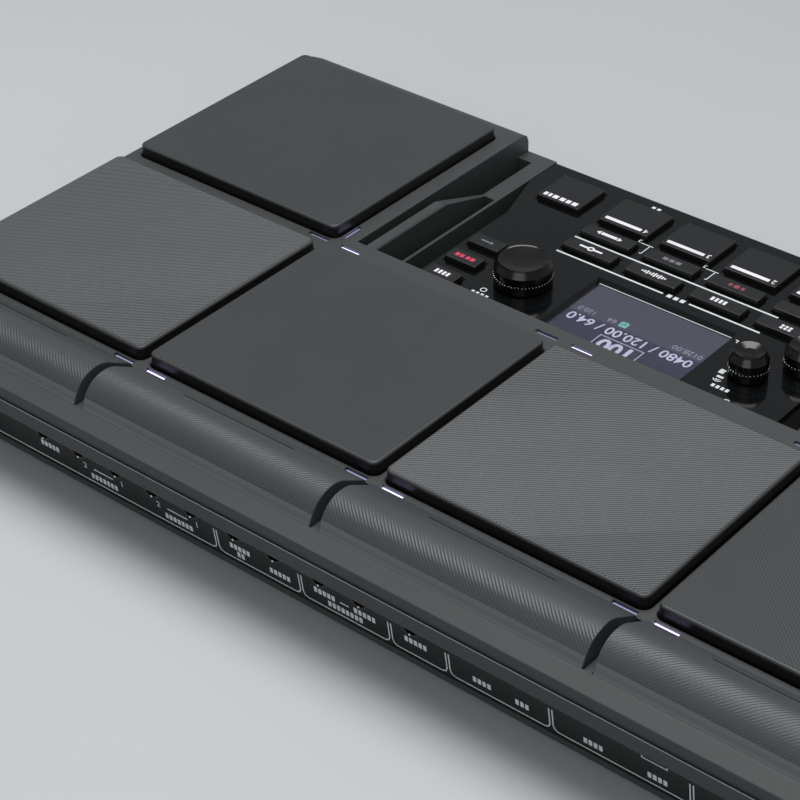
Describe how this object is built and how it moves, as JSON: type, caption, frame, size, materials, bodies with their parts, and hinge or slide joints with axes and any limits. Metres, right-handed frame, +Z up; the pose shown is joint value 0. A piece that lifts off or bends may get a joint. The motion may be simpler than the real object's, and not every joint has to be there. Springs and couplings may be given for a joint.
{
  "type": "sampling drum pad",
  "caption": "Flat desktop drum pad: square rubber pads in lit frames, rubber bars along the rear edge and a sunken control deck with keys, knobs and display.",
  "frame": {"origin": "on the table, below the middle of the case", "axes": "+X is the player's right, +Y is the rear with the sockets, +Z is up"},
  "size_m": [0.3874, 0.2296, 0.0441],
  "materials": {
    "case_abs": "fine moulded texture",
    "panel_abs": "satin",
    "deck_acrylic": "polished",
    "key_abs": "satin",
    "knob_abs": "satin with a polished rim",
    "pad_silicone": "fine diagonal ribs",
    "bar_silicone": "fine diagonal ribs",
    "foot_rubber": "matt",
    "cushion_foam": "open cell foam",
    "sheet_steel": "zinc plated",
    "screw_steel": "black zinc",
    "shaft_steel": "turned",
    "insert_brass": "turned",
    "guide_acrylic": "clear moulded",
    "socket_nylon": "moulded nylon",
    "usb_steel": "stamped and plated",
    "window_glass": "clear over a dark screen",
    "lcd_polycarbonate": "moulded",
    "board_laminate": "solder mask",
    "control_nylon": "moulded nylon"
  },
  "bodies": {
    "case": {"case_top": "case_abs", "case_bottom": "case_abs", "jack_panel": "panel_abs", "control_deck": "deck_acrylic", "drum_pad_1": "pad_silicone", "drum_pad_2": "pad_silicone", "drum_pad_3": "pad_silicone", "drum_pad_4": "pad_silicone", "drum_pad_5": "pad_silicone", "drum_pad_6": "pad_silicone", "bar_pad_1": "bar_silicone", "bar_pad_2": "bar_silicone", "bar_pad_3": "bar_silicone", "bar_pad_4": "bar_silicone", "feet": "foot_rubber", "sensor_cushions": "cushion_foam", "chassis_plate": "sheet_steel", "pad_plates": "sheet_steel", "case_screws": "screw_steel", "stand_inserts": "insert_brass", "light_guide_rear": "guide_acrylic", "light_guide_front": "guide_acrylic", "output_jacks": "socket_nylon", "input_jacks": "socket_nylon", "trigger_jacks": "socket_nylon", "midi_jacks": "socket_nylon", "dc_inlet": "socket_nylon", "usb_sockets": "usb_steel", "display_window": "window_glass", "lcd_module": "lcd_polycarbonate", "main_board": "board_laminate", "deck_board": "board_laminate", "jack_board": "board_laminate", "value_control": "control_nylon", "metronome_control": "control_nylon", "volume_control": "control_nylon"},
    "track_button_4": {"track_button_4": "key_abs"},
    "upper_button_4": {"upper_button_4": "key_abs"},
    "lower_button_4": {"lower_button_4": "key_abs"},
    "track_button_3": {"track_button_3": "key_abs"},
    "upper_button_3": {"upper_button_3": "key_abs"},
    "lower_button_3": {"lower_button_3": "key_abs"},
    "track_button_2": {"track_button_2": "key_abs"},
    "upper_button_2": {"upper_button_2": "key_abs"},
    "lower_button_2": {"lower_button_2": "key_abs"},
    "track_button_1": {"track_button_1": "key_abs"},
    "upper_button_1": {"upper_button_1": "key_abs"},
    "lower_button_1": {"lower_button_1": "key_abs"},
    "stop_button": {"stop_button": "key_abs"},
    "edit_button": {"edit_button": "key_abs"},
    "write_button": {"write_button": "key_abs"},
    "exit_button": {"exit_button": "key_abs"},
    "power_button": {"power_button": "knob_abs"},
    "value_knob": {"value_knob": "knob_abs", "value_shaft": "shaft_steel"},
    "metronome_knob": {"metronome_knob": "knob_abs", "metronome_shaft": "shaft_steel"},
    "volume_knob": {"volume_knob": "knob_abs", "volume_shaft": "shaft_steel"}
  },
  "joints": [
    {"name": "track_button_4_press", "type": "slide", "parent": "case", "child": "track_button_4", "axis": [0, 0, 1], "range_m": [-0.0006, 0], "stiffness_N_per_m": 800, "springref_m": 0.0006},
    {"name": "upper_button_4_press", "type": "slide", "parent": "case", "child": "upper_button_4", "axis": [0, 0, 1], "range_m": [-0.0006, 0], "stiffness_N_per_m": 800, "springref_m": 0.0006},
    {"name": "lower_button_4_press", "type": "slide", "parent": "case", "child": "lower_button_4", "axis": [0, 0, 1], "range_m": [-0.0006, 0], "stiffness_N_per_m": 800, "springref_m": 0.0006},
    {"name": "track_button_3_press", "type": "slide", "parent": "case", "child": "track_button_3", "axis": [0, 0, 1], "range_m": [-0.0006, 0], "stiffness_N_per_m": 800, "springref_m": 0.0006},
    {"name": "upper_button_3_press", "type": "slide", "parent": "case", "child": "upper_button_3", "axis": [0, 0, 1], "range_m": [-0.0006, 0], "stiffness_N_per_m": 800, "springref_m": 0.0006},
    {"name": "lower_button_3_press", "type": "slide", "parent": "case", "child": "lower_button_3", "axis": [0, 0, 1], "range_m": [-0.0006, 0], "stiffness_N_per_m": 800, "springref_m": 0.0006},
    {"name": "track_button_2_press", "type": "slide", "parent": "case", "child": "track_button_2", "axis": [0, 0, 1], "range_m": [-0.0006, 0], "stiffness_N_per_m": 800, "springref_m": 0.0006},
    {"name": "upper_button_2_press", "type": "slide", "parent": "case", "child": "upper_button_2", "axis": [0, 0, 1], "range_m": [-0.0006, 0], "stiffness_N_per_m": 800, "springref_m": 0.0006},
    {"name": "lower_button_2_press", "type": "slide", "parent": "case", "child": "lower_button_2", "axis": [0, 0, 1], "range_m": [-0.0006, 0], "stiffness_N_per_m": 800, "springref_m": 0.0006},
    {"name": "track_button_1_press", "type": "slide", "parent": "case", "child": "track_button_1", "axis": [0, 0, 1], "range_m": [-0.0006, 0], "stiffness_N_per_m": 800, "springref_m": 0.0006},
    {"name": "upper_button_1_press", "type": "slide", "parent": "case", "child": "upper_button_1", "axis": [0, 0, 1], "range_m": [-0.0006, 0], "stiffness_N_per_m": 800, "springref_m": 0.0006},
    {"name": "lower_button_1_press", "type": "slide", "parent": "case", "child": "lower_button_1", "axis": [0, 0, 1], "range_m": [-0.0006, 0], "stiffness_N_per_m": 800, "springref_m": 0.0006},
    {"name": "stop_button_press", "type": "slide", "parent": "case", "child": "stop_button", "axis": [0, 0, 1], "range_m": [-0.0006, 0], "stiffness_N_per_m": 800, "springref_m": 0.0006},
    {"name": "edit_button_press", "type": "slide", "parent": "case", "child": "edit_button", "axis": [0, 0, 1], "range_m": [-0.0006, 0], "stiffness_N_per_m": 800, "springref_m": 0.0006},
    {"name": "write_button_press", "type": "slide", "parent": "case", "child": "write_button", "axis": [0, 0, 1], "range_m": [-0.0006, 0], "stiffness_N_per_m": 800, "springref_m": 0.0006},
    {"name": "exit_button_press", "type": "slide", "parent": "case", "child": "exit_button", "axis": [0, 0, 1], "range_m": [-0.0006, 0], "stiffness_N_per_m": 800, "springref_m": 0.0006},
    {"name": "power_button_press", "type": "slide", "parent": "case", "child": "power_button", "axis": [0, 1, 0], "range_m": [-0.002, 0], "stiffness_N_per_m": 600, "springref_m": 0.001},
    {"name": "value_turn", "type": "hinge", "parent": "case", "child": "value_knob", "pos_m": [0.0384, -0.0431, 0.0285], "axis": [0, 0, 1], "continuous": true},
    {"name": "metronome_turn", "type": "hinge", "parent": "case", "child": "metronome_knob", "pos_m": [-0.0496, -0.0441, 0.0285], "axis": [0, 0, 1], "range_deg": [-150, 150]},
    {"name": "volume_turn", "type": "hinge", "parent": "case", "child": "volume_knob", "pos_m": [-0.0616, -0.0576, 0.0285], "axis": [0, 0, 1], "range_deg": [-150, 150]}
  ]
}
